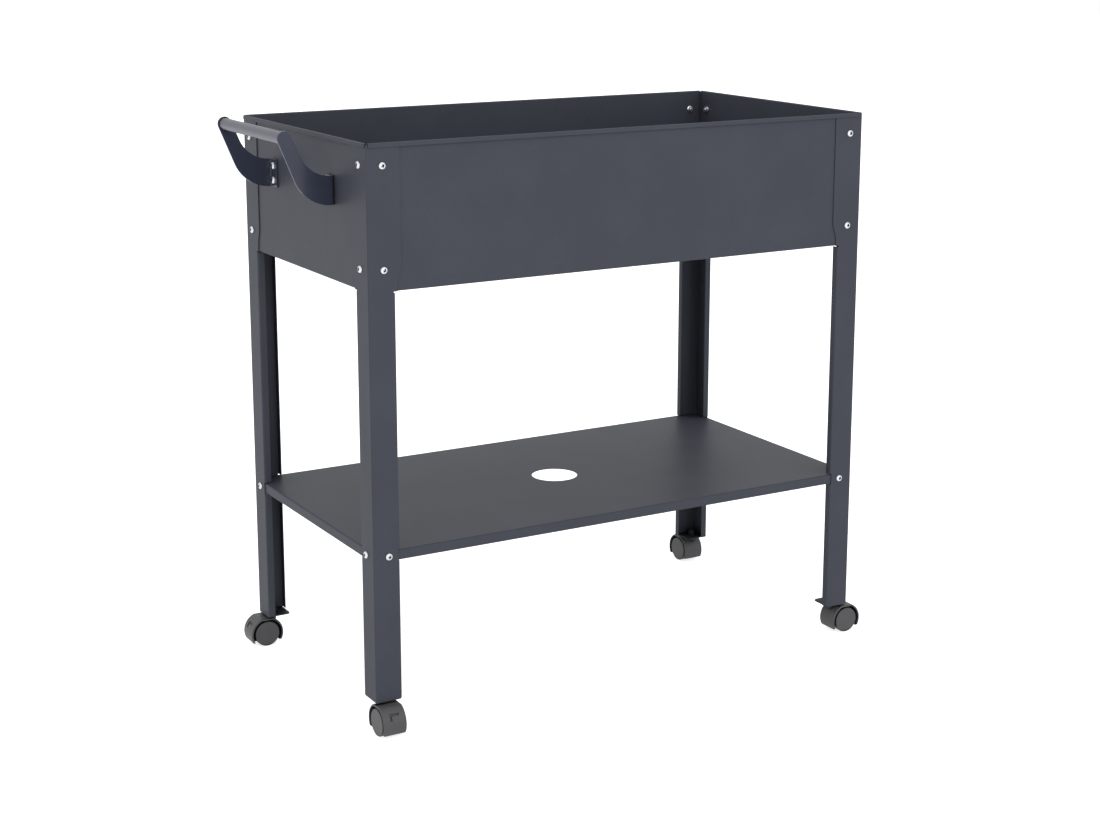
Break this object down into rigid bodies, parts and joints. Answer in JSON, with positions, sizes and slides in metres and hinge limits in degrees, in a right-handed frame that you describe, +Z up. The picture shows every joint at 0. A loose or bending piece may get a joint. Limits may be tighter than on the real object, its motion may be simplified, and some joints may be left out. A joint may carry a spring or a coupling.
{
  "type": "rolling planter",
  "caption": "Rectangular sheet-steel planter box on tall lipped-angle legs with a lower shelf, an end push handle and hooded twin-wheel swivel casters.",
  "frame": {"origin": "on the floor, under the middle of the whole footprint", "axes": "+X along the planter's length, away from the handle; +Y across its width, from front to back; +Z up"},
  "size_m": [0.904, 0.474, 0.815],
  "materials": {
    "anthracite_paint": "satin anthracite powder coat on folded steel sheet",
    "bracket_paint": "glossy blue-black powder coat",
    "steel_tube": "fine brushed, satin",
    "zinc": "bright zinc plate",
    "bright_steel": "bright turned steel",
    "black_zinc": "black zinc plate",
    "hood_plastic": "moulded dark grey nylon",
    "wheel_plastic": "moulded grey nylon tread, satin"
  },
  "bodies": {
    "frame": {"front_wall": "anthracite_paint", "back_wall": "anthracite_paint", "handle_end_wall": "anthracite_paint", "far_end_wall": "anthracite_paint", "planter_floor": "anthracite_paint", "leg_front_left": "anthracite_paint", "leg_front_right": "anthracite_paint", "leg_back_right": "anthracite_paint", "leg_back_left": "anthracite_paint", "lower_shelf": "anthracite_paint", "handle_bracket_front": "bracket_paint", "handle_bracket_back": "bracket_paint", "handle_tube": "steel_tube", "wall_screws": "zinc", "wall_nuts": "zinc", "shelf_screws": "zinc", "shelf_nuts": "zinc", "handle_screws": "zinc", "handle_nuts": "zinc", "caster_plate_front_left": "anthracite_paint", "caster_plate_front_right": "anthracite_paint", "caster_plate_back_right": "anthracite_paint", "caster_plate_back_left": "anthracite_paint", "caster_stem_front_left": "black_zinc", "caster_stem_front_right": "black_zinc", "caster_stem_back_right": "black_zinc", "caster_stem_back_left": "black_zinc", "caster_nut_front_left": "black_zinc", "caster_nut_front_right": "black_zinc", "caster_nut_back_right": "black_zinc", "caster_nut_back_left": "black_zinc"},
    "caster_front_left": {"caster_hood_front_left": "hood_plastic", "caster_axle_front_left": "bright_steel"},
    "outer_wheel_front_left": {"outer_wheel_front_left": "wheel_plastic"},
    "inner_wheel_front_left": {"inner_wheel_front_left": "wheel_plastic"},
    "caster_front_right": {"caster_hood_front_right": "hood_plastic", "caster_axle_front_right": "bright_steel"},
    "outer_wheel_front_right": {"outer_wheel_front_right": "wheel_plastic"},
    "inner_wheel_front_right": {"inner_wheel_front_right": "wheel_plastic"},
    "caster_back_right": {"caster_hood_back_right": "hood_plastic", "caster_axle_back_right": "bright_steel"},
    "outer_wheel_back_right": {"outer_wheel_back_right": "wheel_plastic"},
    "inner_wheel_back_right": {"inner_wheel_back_right": "wheel_plastic"},
    "caster_back_left": {"caster_hood_back_left": "hood_plastic", "caster_axle_back_left": "bright_steel"},
    "outer_wheel_back_left": {"outer_wheel_back_left": "wheel_plastic"},
    "inner_wheel_back_left": {"inner_wheel_back_left": "wheel_plastic"}
  },
  "joints": [
    {"name": "swivel_front_left", "type": "hinge", "parent": "frame", "child": "caster_front_left", "pos_m": [-0.358, -0.195, 0.046], "axis": [0, 0, 1], "continuous": true},
    {"name": "spin_outer_front_left", "type": "hinge", "parent": "caster_front_left", "child": "outer_wheel_front_left", "pos_m": [-0.358, -0.2115, 0.01925], "axis": [1, 0, 0], "continuous": true},
    {"name": "spin_inner_front_left", "type": "hinge", "parent": "caster_front_left", "child": "inner_wheel_front_left", "pos_m": [-0.358, -0.2115, 0.01925], "axis": [1, 0, 0], "continuous": true},
    {"name": "swivel_front_right", "type": "hinge", "parent": "frame", "child": "caster_front_right", "pos_m": [0.41, -0.195, 0.046], "axis": [0, 0, 1], "continuous": true},
    {"name": "spin_outer_front_right", "type": "hinge", "parent": "caster_front_right", "child": "outer_wheel_front_right", "pos_m": [0.4265, -0.195, 0.01925], "axis": [0, 1, 0], "continuous": true},
    {"name": "spin_inner_front_right", "type": "hinge", "parent": "caster_front_right", "child": "inner_wheel_front_right", "pos_m": [0.4265, -0.195, 0.01925], "axis": [0, 1, 0], "continuous": true},
    {"name": "swivel_back_right", "type": "hinge", "parent": "frame", "child": "caster_back_right", "pos_m": [0.41, 0.195, 0.046], "axis": [0, 0, 1], "continuous": true},
    {"name": "spin_outer_back_right", "type": "hinge", "parent": "caster_back_right", "child": "outer_wheel_back_right", "pos_m": [0.41, 0.2115, 0.01925], "axis": [-1, 0, 0], "continuous": true},
    {"name": "spin_inner_back_right", "type": "hinge", "parent": "caster_back_right", "child": "inner_wheel_back_right", "pos_m": [0.41, 0.2115, 0.01925], "axis": [-1, 0, 0], "continuous": true},
    {"name": "swivel_back_left", "type": "hinge", "parent": "frame", "child": "caster_back_left", "pos_m": [-0.358, 0.195, 0.046], "axis": [0, 0, 1], "continuous": true},
    {"name": "spin_outer_back_left", "type": "hinge", "parent": "caster_back_left", "child": "outer_wheel_back_left", "pos_m": [-0.3745, 0.195, 0.01925], "axis": [0, -1, 0], "continuous": true},
    {"name": "spin_inner_back_left", "type": "hinge", "parent": "caster_back_left", "child": "inner_wheel_back_left", "pos_m": [-0.3745, 0.195, 0.01925], "axis": [0, -1, 0], "continuous": true}
  ]
}
